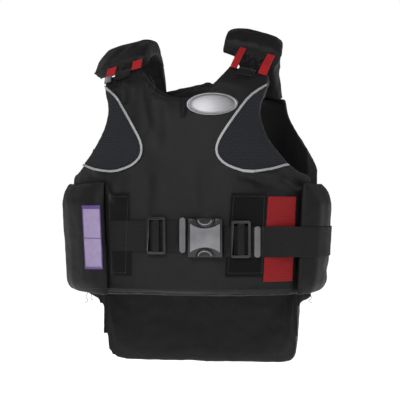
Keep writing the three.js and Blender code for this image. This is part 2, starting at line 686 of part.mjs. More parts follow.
// Hard parts of the belt: each stands square on the form at its place, in a frame of its own
function standOnForm({ across, drop }, standoff) {
  const row = rowAt(drop);
  const angle = angleAt(across);
  const normal = formNormal(angle, row);
  const seat = new THREE.Group();
  seat.position.copy(standOff(angle, row, level(standoff)));
  seat.rotation.z = Math.atan2(normal.x, -normal.y);
  vest.add(seat);
  return seat;
}

function roundedBar(length, height, radius) {
  const shape = new THREE.Shape();
  const [x, y] = [length / 2, height / 2];
  shape.moveTo(-x + radius, -y).lineTo(x - radius, -y);
  shape.absarc(x - radius, -y + radius, radius, -Math.PI / 2, 0, false);
  shape.absarc(x - radius, y - radius, radius, 0, Math.PI / 2, false);
  shape.absarc(-x + radius, y - radius, radius, Math.PI / 2, Math.PI, false);
  shape.absarc(-x + radius, -y + radius, radius, Math.PI, 1.5 * Math.PI, false);
  return shape;
}

function addSlider(side) {
  const rim = (SLIDER_HEIGHT - BELT_WIDTH) / 2 - CLEARANCE;
  const slot = (SLIDER_LENGTH - SLIDER_BAR) / 2 - rim;
  const frame = plate(roundedBar(SLIDER_LENGTH, SLIDER_HEIGHT, rim), -SLIDER_THICKNESS, 0, 3);
  let solid = toSolid(frame);
  for (const way of [-1, 1]) {
    const cut = new THREE.BoxGeometry(slot, 3 * SLIDER_THICKNESS, SLIDER_HEIGHT - 2 * rim);
    solid = solid.subtract(toSolid(cut.translate((way * (SLIDER_BAR + slot)) / 2, 0, 0)));
  }
  const seat = standOnForm(SLIDER_PLACE[side], OVER_TABS + WEBBING_THICKNESS + SLIDER_SEAT);
  addPiece(`slider_${side}`, toGeometry(solid), blackPlastic(), seat);
  addSliderWebbing(side, seat, slot);
}

// The short loop of webbing that comes up through the slots and over the middle bar
function addSliderWebbing(side, seat, slot) {
  const inside = SLIDER_BAR / 2 + CLEARANCE;
  const low = CLEARANCE / 2 - SLIDER_SEAT / 2;
  const high = SLIDER_THICKNESS + CLEARANCE;
  const wall = Math.min(WEBBING_THICKNESS, slot - 2 * CLEARANCE);
  const bend = high + wall * 0.6;
  const loop = new THREE.Shape();
  loop.moveTo(-inside - wall, low).lineTo(-inside, low).lineTo(-inside, high).lineTo(inside, high);
  loop.lineTo(inside, low).lineTo(inside + wall, low).lineTo(inside + wall, bend);
  loop.lineTo(inside, high + wall).lineTo(-inside, high + wall).lineTo(-inside - wall, bend);
  const width = BELT_WIDTH - 2 * CLEARANCE;
  const geometry = new THREE.ExtrudeGeometry(loop, { depth: width, bevelEnabled: false });
  geometry.translate(0, 0, -width / 2).rotateX(Math.PI);
  addPiece(`slider_webbing_${side}`, geometry, webbingCloth(), seat);
}

function addBar(side) {
  const seat = standOnForm(BAR_PLACE[side], OVER_TABS + WEBBING_THICKNESS + SLIDER_SEAT);
  const shape = roundedBar(BAR_LENGTH, BAR_HEIGHT[side], BAR_LENGTH / 2 - CLEARANCE / 2);
  addPiece(`belt_bar_${side}`, plate(shape, -BAR_THICKNESS, 0, 4), greyPlastic(), seat);
}

// Side-release buckle: a socket with a notch above and below, a prong in each, and a waisted plate
const PRONG_SUNK = 1;
const PRONG_SHARE = 0.85;

function addBuckle() {
  const seat = standOnForm(BUCKLE_PLACE, ON_FOAM + SLIDER_SEAT);
  const [x, y] = [BUCKLE_LENGTH / 2, BUCKLE_HEIGHT / 2];
  const socket = new THREE.Shape();
  socket.moveTo(-x, -y).lineTo(-BUCKLE_NOTCH, -y);
  socket.absarc(0, -y, BUCKLE_NOTCH, Math.PI, 0, true);
  socket.lineTo(x, -y).lineTo(x, y).lineTo(BUCKLE_NOTCH, y);
  socket.absarc(0, y, BUCKLE_NOTCH, 0, Math.PI, true);
  socket.lineTo(-x, y);
  addPiece('buckle_socket', plate(socket, -BUCKLE_THICKNESS, 0, 8), blackPlastic(), seat);
  for (const [name, way] of [['upper', 1], ['lower', -1]]) {
    const prong = new THREE.Shape();
    const [start, end] = way > 0 ? [Math.PI, 2 * Math.PI] : [0, Math.PI];
    prong.absarc(0, way * y, BUCKLE_NOTCH - CLEARANCE, start, end, false);
    const solid = plate(prong, -BUCKLE_THICKNESS * PRONG_SHARE, -PRONG_SUNK, 8);
    addPiece(`buckle_prong_${name}`, solid, blackPlastic(), seat);
  }
  const [wide, tall] = [BUCKLE_PLATE.length / 2, BUCKLE_PLATE.height / 2];
  const waist = tall * BUCKLE_PLATE.waist;
  const face = new THREE.Shape();
  face.moveTo(-wide, -tall);
  face.quadraticCurveTo(0, -waist, wide, -tall);
  face.lineTo(wide, tall);
  face.quadraticCurveTo(0, waist, -wide, tall);
  const front = -BUCKLE_THICKNESS - CLEARANCE;
  addPiece('buckle_plate', plate(face, front - BUCKLE_PLATE.thickness, front, 8), greyPlastic(), seat);
}

for (const side of Object.keys(SIDES)) {
  addSidePanel(side);
  addInset(side);
  addPiping(side);
  addPiece(`shoulder_pad_${side}`, shoulderGeometry(side), nylon());
  addShoulderTrims(side);
  addSlider(side);
  addBar(side);
}
addFrontPanel();
addBackPanel();
addBadge();
addLabel();
addWaistTrims();
addPiece('shoulder_keeper_right', slantedTrim('right', KEEPER, TAB_THICKNESS), greyPlastic());
addBelt();
addBuckle();

export default vest;
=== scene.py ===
"""Equestrian body protector: cloth, foam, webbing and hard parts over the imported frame."""
import json
import math

import bmesh
import bpy
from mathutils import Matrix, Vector, noise
from mathutils.bvhtree import BVHTree
from mathutils.interpolate import poly_3d_calc

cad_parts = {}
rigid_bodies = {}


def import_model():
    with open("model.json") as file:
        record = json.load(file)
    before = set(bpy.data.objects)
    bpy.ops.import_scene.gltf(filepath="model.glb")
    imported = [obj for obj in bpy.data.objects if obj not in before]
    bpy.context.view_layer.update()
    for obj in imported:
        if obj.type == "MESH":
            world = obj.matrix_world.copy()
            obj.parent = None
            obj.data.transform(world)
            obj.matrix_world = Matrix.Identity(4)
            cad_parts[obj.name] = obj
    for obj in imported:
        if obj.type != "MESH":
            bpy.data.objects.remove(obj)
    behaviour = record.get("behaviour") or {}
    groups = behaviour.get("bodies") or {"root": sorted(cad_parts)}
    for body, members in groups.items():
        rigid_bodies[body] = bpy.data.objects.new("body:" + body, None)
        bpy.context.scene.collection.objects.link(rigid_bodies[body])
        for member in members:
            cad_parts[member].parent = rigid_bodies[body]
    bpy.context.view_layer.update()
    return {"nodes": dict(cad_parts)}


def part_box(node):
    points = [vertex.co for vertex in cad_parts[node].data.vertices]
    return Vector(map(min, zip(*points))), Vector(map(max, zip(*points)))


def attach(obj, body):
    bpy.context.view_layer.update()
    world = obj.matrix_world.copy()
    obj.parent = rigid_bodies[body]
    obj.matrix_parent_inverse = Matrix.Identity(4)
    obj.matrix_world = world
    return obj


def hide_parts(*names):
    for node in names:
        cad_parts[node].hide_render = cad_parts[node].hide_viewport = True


bl_info = {
    "name": "Equestrian Body Protector",
    "version": (1, 0, 0),
    "blender": (4, 5, 0),
    "location": "View3D > Sidebar > Body Protector",
    "description": "Builds a padded riding vest in its worn form, piece by piece",
    "category": "Add Mesh",
}

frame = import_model()
MM = 0.001
SIDES = ("left", "right")

FOAM_PIECES = {
    "front_panel": "front_cover",
    "back_panel": "back_cover",
    "side_panel_left": "side_pad_left",
    "side_panel_right": "side_pad_right",
    "shoulder_pad_left": "shoulder_roll_left",
    "shoulder_pad_right": "shoulder_roll_right",
}


# Materials

def linear(code, alpha=1.0):
    """A linear colour from an sRGB hex value."""
    channels = [int(code[index:index + 2], 16) / 255 for index in (1, 3, 5)]
    return [
        value / 12.92 if value <= 0.04045 else ((value + 0.055) / 1.055) ** 2.4
        for value in channels
    ] + [alpha]


def add_node(tree, kind, settings=None, values=None, links=None):
    """One node with its settings, its sockets' values and what feeds them."""
    node = tree.nodes.new(kind)
    for name, value in (settings or {}).items():
        setattr(node, name, value)
    for name, value in (values or {}).items():
        node.inputs[name].default_value = value
    for name, socket in (links or {}).items():
        tree.links.new(socket, node.inputs[name])
    return node


def start_material(name, roughness, metallic=0.0, **shader_values):
    """A material with its shader and the place of each point in millimetres."""
    material = bpy.data.materials.get(name) or bpy.data.materials.new(name)
    material.use_nodes = True
    tree = material.node_tree
    tree.nodes.clear()
    values = {"Roughness": roughness, "Metallic": metallic, **shader_values}
    shader = add_node(tree, "ShaderNodeBsdfPrincipled", values=values)
    output = add_node(tree, "ShaderNodeOutputMaterial")
    tree.links.new(shader.outputs["BSDF"], output.inputs["Surface"])
    place = add_node(tree, "ShaderNodeTexCoord")
    scaled = add_node(
        tree, "ShaderNodeMapping", values={"Scale": (1000, 1000, 1000)},
        links={"Vector": place.outputs["Object"]},
    )
    return material, tree, shader, scaled.outputs["Vector"]


def noise_field(tree, place, size_mm, detail=3.0, roughness=0.5):
    """Soft noise whose lumps are about size_mm wide."""
    made = add_node(
        tree, "ShaderNodeTexNoise",
        values={"Scale": 1 / size_mm, "Detail": detail, "Roughness": roughness},
        links={"Vector": place},
    )
    return made.outputs["Fac"]


def maths(tree, operation, first, second):
    """A sum, product or other operation on two values or sockets."""
    node = add_node(tree, "ShaderNodeMath", {"operation": operation})
    for index, value in enumerate((first, second)):
        if isinstance(value, (int, float)):
            node.inputs[index].default_value = value
        else:
            tree.links.new(value, node.inputs[index])
    return node.outputs["Value"]


def colour_between(tree, share, low, high):
    """A colour that runs from one hex value to another."""
    mixed = add_node(
        tree, "ShaderNodeMix", {"data_type": "RGBA"}, links={"Factor": share}
    )
    mixed.inputs["A"].default_value = linear(low)
    mixed.inputs["B"].default_value = linear(high)
    return mixed.outputs["Result"]


def add_bump(tree, shader, height, depth_mm, strength=1.0):
    """Relief of a given depth under the shader."""
    bump = add_node(
        tree, "ShaderNodeBump", values={"Distance": depth_mm * MM, "Strength": strength},
        links={"Height": height},
    )
    tree.links.new(bump.outputs["Normal"], shader.inputs["Normal"])


def wave(tree, place, direction, pitch_mm):
    """Even waves from 0 to 1 along one axis, a pitch apart."""
    split = add_node(tree, "ShaderNodeSeparateXYZ", links={"Vector": place})
    turned = maths(tree, "MULTIPLY", split.outputs[direction], 2 * math.pi / pitch_mm)
    raised = maths(tree, "SINE", turned, 0.0)
    return maths(tree, "ADD", maths(tree, "MULTIPLY", raised, 0.5), 0.5)


def woven_nylon(name, dark, light, sheen):
    """Plain-woven nylon cloth: matt black with a soft sheen where it turns away, and a fine weave."""
    material, tree, shader, place = start_material(
        name, 0.6, **{"Sheen Weight": sheen, "Sheen Roughness": 0.4, "Specular IOR Level": 0.24},
    )
    worn = noise_field(tree, place, 38, 4)
    tree.links.new(colour_between(tree, worn, dark, light), shader.inputs["Base Color"])
    # Threads are 0.4 mm apart: drawn at 1.5 mm so that they show
    weave = maths(tree, "MULTIPLY", wave(tree, place, "X", 1.5), wave(tree, place, "Z", 1.5))
    crumple = noise_field(tree, place, 11, 4)
    height = maths(tree, "ADD", maths(tree, "MULTIPLY", weave, 0.2), crumple)
    add_bump(tree, shader, height, 1.0, 0.55)
    return material


def spacer_mesh():
    """Knitted spacer mesh: rows of holes, each row half a step along from the last."""
    material, tree, shader, place = start_material(
        "knitted_spacer_mesh", 0.85, **{"Specular IOR Level": 0.3})
    split = add_node(tree, "ShaderNodeSeparateXYZ", links={"Vector": place})
    across = maths(tree, "DIVIDE", split.outputs["X"], 4.4)
    down = maths(tree, "DIVIDE", split.outputs["Z"], 3.4)
    row = maths(tree, "FLOOR", down, 0.0)
    shifted = maths(tree, "ADD", across, maths(tree, "MULTIPLY", row, 0.5))
    place_x = maths(tree, "SUBTRACT", maths(tree, "FRACT", shifted, 0.0), 0.5)
    place_z = maths(tree, "SUBTRACT", maths(tree, "FRACT", down, 0.0), 0.5)
    squared = maths(tree, "ADD", maths(tree, "MULTIPLY", place_x, place_x),
                    maths(tree, "MULTIPLY", place_z, place_z))
    away = maths(tree, "SQRT", squared, 0.0)
    solid = add_node(tree, "ShaderNodeMapRange", {"interpolation_type": "SMOOTHSTEP"},
                     {"From Min": 0.22, "From Max": 0.36}, {"Value": away}).outputs["Result"]
    tone = colour_between(tree, solid, "#040405", "#1b1d22")
    tree.links.new(tone, shader.inputs["Base Color"])
    add_bump(tree, shader, solid, 0.8, 0.9)
    return material


def hook_pile():
    """The loop side of hook-and-loop tape: matt, with a short uneven pile."""
    material, tree, shader, place = start_material(
        "hook_and_loop_pile", 0.95, **{"Sheen Weight": 0.1, "Specular IOR Level": 0.15})
    pile = noise_field(tree, place, 1.2, 2)
    tree.links.new(colour_between(tree, pile, "#030304", "#0a0a0b"), shader.inputs["Base Color"])
    add_bump(tree, shader, pile, 0.5, 0.7)
    return material


def ribbed_cloth(name, dark, light, rib_mm, direction, roughness=0.8):
    """Narrow woven cloth with ribs along one axis and a finer weave across them."""
    material, tree, shader, place = start_material(name, roughness, **{"Specular IOR Level": 0.3})
    ribs = wave(tree, place, direction, rib_mm)
    worn = noise_field(tree, place, 14, 3)
    share = maths(tree, "MULTIPLY", maths(tree, "ADD", ribs, worn), 0.5)
    tree.links.new(colour_between(tree, share, dark, light), shader.inputs["Base Color"])
    picks = wave(tree, place, "Z" if direction == "X" else "X", 1.2)
    height = maths(tree, "ADD", ribs, maths(tree, "MULTIPLY", picks, 0.3))
    add_bump(tree, shader, height, 0.35, 0.8)
    return material


def satin_cloth(name, dark, light):
    """Smooth woven label cloth."""
    material, tree, shader, place = start_material(name, 0.55)
    tone = colour_between(tree, noise_field(tree, place, 9), dark, light)
    tree.links.new(tone, shader.inputs["Base Color"])
    add_bump(tree, shader, wave(tree, place, "Z", 1.0), 0.1, 0.4)
    return material


def reflective_tape():
    """Glass-bead reflective cloth: grey, with a fine grain."""
    material, tree, shader, place = start_material("glass_bead_tape", 0.5, 0.25)
    grain = noise_field(tree, place, 1.5)
    tree.links.new(colour_between(tree, grain, "#7c7c7e", "#a2a2a4"), shader.inputs["Base Color"])
    add_bump(tree, shader, grain, 0.15, 0.4)
    return material


def moulded_plastic(name, dark, light, roughness):
    """Moulded acetal: satin, with faint flow marks."""
    material, tree, shader, place = start_material(name, roughness)
    tone = colour_between(tree, noise_field(tree, place, 12, 2), dark, light)
    tree.links.new(tone, shader.inputs["Base Color"])
    add_bump(tree, shader, noise_field(tree, place, 1.2, 2), 0.06, 0.5)
    return material


def brushed_metal(name, dark, light, roughness):
    """Metal brushed along the plate's length."""
    material, tree, shader, place = start_material(name, roughness, 0.85)
    stretched = add_node(tree, "ShaderNodeMapping", values={"Scale": (0.05, 1, 1.6)},
                         links={"Vector": place})
    lines = noise_field(tree, stretched.outputs["Vector"], 1.1, 3)
    tree.links.new(colour_between(tree, lines, dark, light), shader.inputs["Base Color"])
    add_bump(tree, shader, lines, 0.05, 0.6)
    return material


# Meshes

def link_piece(name, mesh, *materials):
    """A finished mesh as an object of its own."""
    piece = bpy.data.objects.new(name, mesh)
    bpy.context.scene.collection.objects.link(piece)
    chosen = [polygon.material_index for polygon in mesh.polygons]
    mesh.materials.clear()
    for material in materials:
        mesh.materials.append(material)
    for polygon, index in zip(mesh.polygons, chosen):
        polygon.material_index = index
        polygon.use_smooth = True
    return piece


def merged_copy(node):
    """A copy of a frame node's mesh with its shared points merged."""
    shape = bmesh.new()
    shape.from_mesh(frame["nodes"][node].data)
    bmesh.ops.remove_doubles(shape, verts=shape.verts, dist=0.01 * MM)
    bmesh.ops.recalc_face_normals(shape, faces=shape.faces)
    return shape


def to_piece(shape, name, *materials):
    """The shape as a linked piece."""
    mesh = bpy.data.meshes.new(name)
    shape.normal_update()
    shape.to_mesh(mesh)
    shape.free()
    return link_piece(name, mesh, *materials)


def evaluated(piece):
    """The piece's mesh with its modifiers applied, and the modifiers removed."""
    bpy.context.view_layer.update()
    graph = bpy.context.evaluated_depsgraph_get()
    made = bpy.data.meshes.new_from_object(piece.evaluated_get(graph), depsgraph=graph)
    piece.modifiers.clear()
    old = piece.data
    piece.data = made
    bpy.data.meshes.remove(old)
    return piece


def finish_piece(piece, slot, *nodes):
    """Puts the piece on the body, in place of its nodes."""
    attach(piece, "root")
    if nodes:
        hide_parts(*nodes)
    return piece


def soften_edges(shape, width, turn_degrees=40):
    """Rounds every edge that turns more than an angle."""
    sharp = [edge for edge in shape.edges
             if len(edge.link_faces) == 2 and edge.calc_face_angle() > math.radians(turn_degrees)]
    bmesh.ops.bevel(shape, geom=sharp, offset=width, segments=3, profile=0.5,
                    affect="EDGES", clamp_overlap=True)
    bmesh.ops.remove_doubles(shape, verts=shape.verts, dist=0.01 * MM)


def refine(shape, pitch):
    """Cuts the shape along even planes on all three axes."""
    for axis in range(3):
        places = [vertex.co[axis] for vertex in shape.verts]
        across = Vector((0, 0, 0))
        across[axis] = 1
        for step in range(math.ceil(min(places) / pitch), math.ceil(max(places) / pitch)):
            bmesh.ops.bisect_plane(
                shape, geom=shape.verts[:] + shape.edges[:] + shape.faces[:],
                plane_co=across * (step * pitch), plane_no=across)


class Skin:
    """The surface of several pieces together, for laying others on it."""

    def __init__(self, meshes):
        self.points, self.normals, self.faces = [], [], []
        for mesh in meshes:
            start = len(self.points)
            self.points += [vertex.co.copy() for vertex in mesh.vertices]
            self.normals += [vertex.normal.copy() for vertex in mesh.vertices]
            self.faces += [[start + corner for corner in polygon.vertices] for polygon in mesh.polygons]
        self.tree = BVHTree.FromPolygons(self.points, self.faces)

    def smooth_normal(self, spot, index):
        """The surface's direction at a spot on one of its faces."""
        corners = self.faces[index]
        weights = poly_3d_calc([self.points[corner] for corner in corners], spot)
        blended = Vector((0, 0, 0))
        for corner, weight in zip(corners, weights):
            blended += self.normals[corner] * weight
        return blended.normalized()

    def nearest(self, place):
        """The nearest spot and the surface's direction there."""
        spot, _, index, _ = self.tree.find_nearest(place)
        return spot, self.smooth_normal(spot, index)

    def seen_from_front(self, across, height):
        """The spot that a line from the front meets first, and the direction there."""
        spot, _, index, _ = self.tree.ray_cast(Vector((across, -0.5, height)), Vector((0, 1, 0)))
        return (spot, self.smooth_normal(spot, index)) if spot else (None, None)


def drape(shape, foam, cover, hugging=True):
    """Lays the shape on the cover at the height it has over the foam. Without hugging it is only lifted."""
    for vertex in shape.verts:
        height = (vertex.co - foam.nearest(vertex.co)[0]).length
        spot, normal = cover.nearest(vertex.co)
        if hugging:
            vertex.co = spot + normal * height
            continue
        short = min(height, 3.5 * MM) - (vertex.co - spot).dot(normal)
        if short > 0:
            vertex.co += normal * short


# Padded pieces

# Creases: the view they are drawn in, from, to (mm in that view), width and depth in mm
VIEWS = {
    "front": (0, 2, Vector((0, -1, 0))),
    "top": (0, 1, Vector((0, 0, 1))),
    "left": (1, 2, Vector((1, 0, 0))),
    "right": (1, 2, Vector((-1, 0, 0))),
}
CREASES = {
    "front_cover": (
        ("front", (2, -60), (6, -98), 4, 2.6),
        ("front", (16, -64), (22, -92), 5, 1.6),
        ("front", (-95, -40), (-88, -76), 5, 2.4),
        ("front", (-64, -48), (-46, -122), 7, 2.6),
        ("front", (-40, -70), (-30, -150), 9, 1.6),
        ("front", (-46, -176), (-50, -250), 8, 1.6),
        ("front", (38, -176), (40, -250), 8, 1.6),
        ("front", (88, -186), (150, -198), 6, 3.2),
        ("front", (112, -196), (168, -214), 6, 3.0),
        ("front", (150, -178), (178, -206), 6, 3.4),
        ("front", (-116, -196), (-106, -236), 5, 2.4),
        ("front", (-150, -184), (-118, -200), 6, 1.8),
        ("front", (-168, -366), (168, -367), 4, 3.0),
        ("front", (-60, -318), (-20, -352), 9, 1.4),
        ("front", (20, -326), (64, -350), 9, 1.4),
    ),
    "shoulder_roll_left": (
        ("top", (52, -22), (140, -6), 6, 3.4),
        ("top", (58, -48), (142, -34), 6, 3.0),
        ("top", (60, 12), (138, 22), 8, 2.6),
        ("top", (84, -60), (96, -10), 6, 2.0),
        ("top", (70, 40), (130, 58), 8, 2.0),
    ),
    "shoulder_roll_right": (
        ("top", (-140, -30), (-70, -18), 9, 1.8),
        ("top", (-128, -74), (-98, -40), 7, 1.8),
        ("top", (-84, -60), (-66, 6), 7, 2.0),
    ),
    "side_pad_left": (
        ("left", (-60, -204), (70, -200), 7, 1.6),
        ("left", (-40, -330), (60, -338), 9, 1.4),
    ),
    "side_pad_right": (
        ("right", (-60, -204), (70, -200), 7, 1.6),
        ("right", (-40, -330), (60, -338), 9, 1.4),
    ),
}


def crease_height(place, normal, creases):
    """How far the cloth stands in or out at a place, with a groove and a ridge beside each crease."""
    height = 0.0
    for view, start, end, width, depth in creases:
        first, second, facing = VIEWS[view]
        turned = normal.dot(facing)
        if turned < 0.2:
            continue
        spot = Vector((place[first] / MM, place[second] / MM))
        along = Vector(end) - Vector(start)
        share = (spot - Vector(start)).dot(along) / along.length_squared
        kept = min(max(share, 0), 1)
        away = spot - Vector(start) - along * kept
        side = math.copysign(away.length, along.x * away.y - along.y * away.x)
        groove = math.exp(-(side / width) ** 2)
        ridge = 0.6 * math.exp(-((side - 1.9 * width) / width) ** 2)
        fade = 1 - (2 * kept - 1) ** 4 if 0 < share < 1 else 0
        height += (ridge - groove) * depth * fade * turned
    return height * MM


def meet_at_back(piece, reach):
    """Stretches a shoulder roll's back end down, and the back's top edge up, until the two touch."""
    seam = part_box("shoulder_pad_left" if piece.name.endswith("left") else "shoulder_pad_right")[0].z
    for vertex in piece.data.vertices:
        if piece.name == "back_cover":
            share = 1 - (seam + 14 * MM - vertex.co.z) / (30 * MM)
            vertex.co.z += reach * min(max(share, 0), 1)
        else:
            share = 1 - (vertex.co.z - seam) / (30 * MM)
            behind = min(max((vertex.co.y - 20 * MM) / (30 * MM), 0), 1)
            vertex.co.z -= reach * behind * min(max(share, 0), 1)


def wrinkle(piece, wave_size, wave_depth):
    """Creases from the table, and soft uneven waves all over."""
    creases = CREASES.get(piece.name, ())
    moves = []
    for vertex in piece.data.vertices:
        waves = noise.noise(vertex.co / wave_size) + 0.5 * noise.noise(vertex.co * 2.6 / wave_size)
        moves.append(vertex.normal * (crease_height(vertex.co, vertex.normal, creases) + waves * wave_depth))
    for vertex, move in zip(piece.data.vertices, moves):
        vertex.co += move
    piece.data.update()


def inflate(piece, pressure, cap):
    """Air pressure under the cloth, with each point's way limited."""
    start = [vertex.co.copy() for vertex in piece.data.vertices]
    cloth = piece.modifiers.new("Cloth", "CLOTH")
    cloth.settings.use_pressure = True
    cloth.settings.uniform_pressure_force = pressure
    cloth.settings.effector_weights.gravity = 0
    cloth.settings.quality = 5
    cloth.settings.tension_stiffness = 18
    cloth.settings.bending_stiffness = 0.4
    scene = bpy.context.scene
    for number in range(1, 21):
        scene.frame_set(number)
    evaluated(piece)
    scene.frame_set(1)
    for vertex, origin in zip(piece.data.vertices, start):
        moved = vertex.co - origin
        if moved.length > cap:
            vertex.co = origin + moved.normalized() * cap


def soft_body_of(node, name, material, settings):
    """The node's solid, remeshed fine and swollen like stuffed cloth."""
    piece = to_piece(merged_copy(node), name, material)
    remesh = piece.modifiers.new("Remesh", "REMESH")
    remesh.mode = "VOXEL"
    remesh.voxel_size = settings.voxel
    remesh.adaptivity = 0
    smooth = piece.modifiers.new("Smooth", "SMOOTH")
    smooth.factor = 0.5
    smooth.iterations = 4
    evaluated(piece)
    for vertex in piece.data.vertices:
        vertex.co -= vertex.normal * settings.shrink
    inflate(piece, 4.0, settings.swell)
    fine = piece.modifiers.new("Subdivision", "SUBSURF")
    fine.levels = fine.render_levels = 1
    evaluated(piece)
    if name.startswith("shoulder") or name == "back_cover":
        meet_at_back(piece, settings.seam_reach)
    wrinkle(piece, settings.wave_size, settings.wave_depth)
    return piece


class VestCover(bpy.types.PropertyGroup):
    """Cloth and foam of the padded pieces."""
    voxel: bpy.props.FloatProperty(
        name="Voxel", description="Mesh step of the padded pieces", default=5 * MM, unit="LENGTH")
    shrink: bpy.props.FloatProperty(
        name="Shrink", description="How far the cloth starts inside the foam's face", default=1.5 * MM,
        unit="LENGTH")
    swell: bpy.props.FloatProperty(
        name="Swell", description="How far the cloth may swell over the foam", default=3 * MM,
        unit="LENGTH")
    seam_reach: bpy.props.FloatProperty(
        name="Seam reach", description="How far the shoulder ends and the back reach for each other",
        default=7 * MM, unit="LENGTH")
    wave_size: bpy.props.FloatProperty(
        name="Wave size", description="Size of the soft waves in the cloth", default=42 * MM,
        unit="LENGTH")
    wave_depth: bpy.props.FloatProperty(
        name="Wave depth", description="Depth of the soft waves in the cloth", default=1.1 * MM,
        unit="LENGTH")


class VEST_OT_padding(bpy.types.Operator):
    """Builds the six padded pieces."""
    bl_idname = "vest.padding"
    bl_label = "Build padded pieces"

    def execute(self, context):
        shell = woven_nylon("woven_nylon_cover", "#070709", "#0f0f12", 0.02)
        # The side pads take the chest's nylon painted darker: painted shade where the sides turn away from the
        # light.
        shaded_side_nylon = woven_nylon("woven_nylon_side_painted_shade", "#020203", "#050506", 0.005)
        for node, name in FOAM_PIECES.items():
            material = shaded_side_nylon if node.startswith("side") else shell
            piece = soft_body_of(node, name, material, context.scene.vest_cover)
            finish_piece(piece, "side_nylon" if node.startswith("side") else "nylon_shell", node)
        return {"FINISHED"}


# Trims, belts and hard parts

# Each trim's nodes, the material it is made of, its slot, whether it hugs the foam, and its edges' rounding in mm
TRIMS = (
    (("mesh_inset_left", "mesh_inset_right"), "spacer_mesh", "mesh_fabric", True, 0.3),
    (("piping_left", "piping_right"), "tape", "reflective_piping", True, 1.0),
    (("waist_tab_left", "waist_tab_right", "shoulder_tab_left", "shoulder_tab_right"),
     "hook", "hook_fabric", True, 0.5),
    (("waist_elastic_left",), "waist_red", "red_elastic", True, 0.4),
    (("shoulder_elastic_left_inner", "shoulder_elastic_left_outer", "shoulder_elastic_right_inner",
      "shoulder_elastic_right_outer"), "shoulder_red", "red_elastic", False, 0.4),
    (("shoulder_keeper_right",), "grey", "grey_plastic", True, 0.5),
    (("belt_left", "belt_right"), "webbing", "webbing", False, 0.5),
)
HARD_PARTS = (
    (("slider_left", "slider_right"), "black", "black_plastic", 0.7),
    (("belt_bar_left", "belt_bar_right"), "grey", "grey_plastic", 1.2),
    (("buckle_socket", "buckle_prong_upper", "buckle_prong_lower"), "black", "black_plastic", 1.0),
    (("buckle_plate",), "steel", "grey_plastic", 0.5),
    (("slider_webbing_left", "slider_webbing_right"), "webbing", "webbing", 0.3),
)


def trim_materials():
    """The cloths, tapes and plastics of the trims, by short name."""
    return {
        "spacer_mesh": spacer_mesh(),
        "tape": reflective_tape(),
        "hook": hook_pile(),
        "waist_red": ribbed_cloth("ribbed_elastic_waist", "#6c060b", "#820a11", 2.4, "Z"),
        "shoulder_red": ribbed_cloth("ribbed_elastic_shoulder", "#8a0e15", "#a8151c", 2.0, "X"),
        "webbing": ribbed_cloth("ribbed_polyester_webbing", "#040404", "#0b0b0b", 2.6, "Z"),
        "black": moulded_plastic("black_acetal", "#060607", "#0c0c0d", 0.3),
        "grey": moulded_plastic("grey_acetal", "#4a4a4d", "#5e5e62", 0.36),
        "steel": moulded_plastic("silver_acetal", "#5a5a5d", "#77777b", 0.26),
    }


class VestTrims(bpy.types.PropertyGroup):
    """Fineness of the trims."""
    pitch: bpy.props.FloatProperty(
        name="Pitch", description="Mesh step of the trims", default=4 * MM, unit="LENGTH")


def cover_skin():
    return Skin([bpy.data.objects[name].data for name in FOAM_PIECES.values()])


def foam_skin():
    return Skin([frame["nodes"][node].data for node in FOAM_PIECES])


class VEST_OT_trims(bpy.types.Operator):
    """Builds the insets, piping, tabs, elastics and belts, laid on the padded pieces."""
    bl_idname = "vest.trims"
    bl_label = "Build trims"

    def execute(self, context):
        foam, cover = foam_skin(), cover_skin()
        materials = trim_materials()
        for nodes, material, slot, hugging, rounding in TRIMS:
            for node in nodes:
                shape = merged_copy(node)
                soften_edges(shape, rounding * MM)
                refine(shape, context.scene.vest_trims.pitch)
                drape(shape, foam, cover, hugging)
                finish_piece(to_piece(shape, f"fitted_{node}", materials[material]), slot, node)
        for nodes, material, slot, rounding in HARD_PARTS:
            for node in nodes:
                shape = merged_copy(node)
                soften_edges(shape, rounding * MM)
                finish_piece(to_piece(shape, f"moulded_{node}", materials[material]), slot, node)
        return {"FINISHED"}


# Badge and label

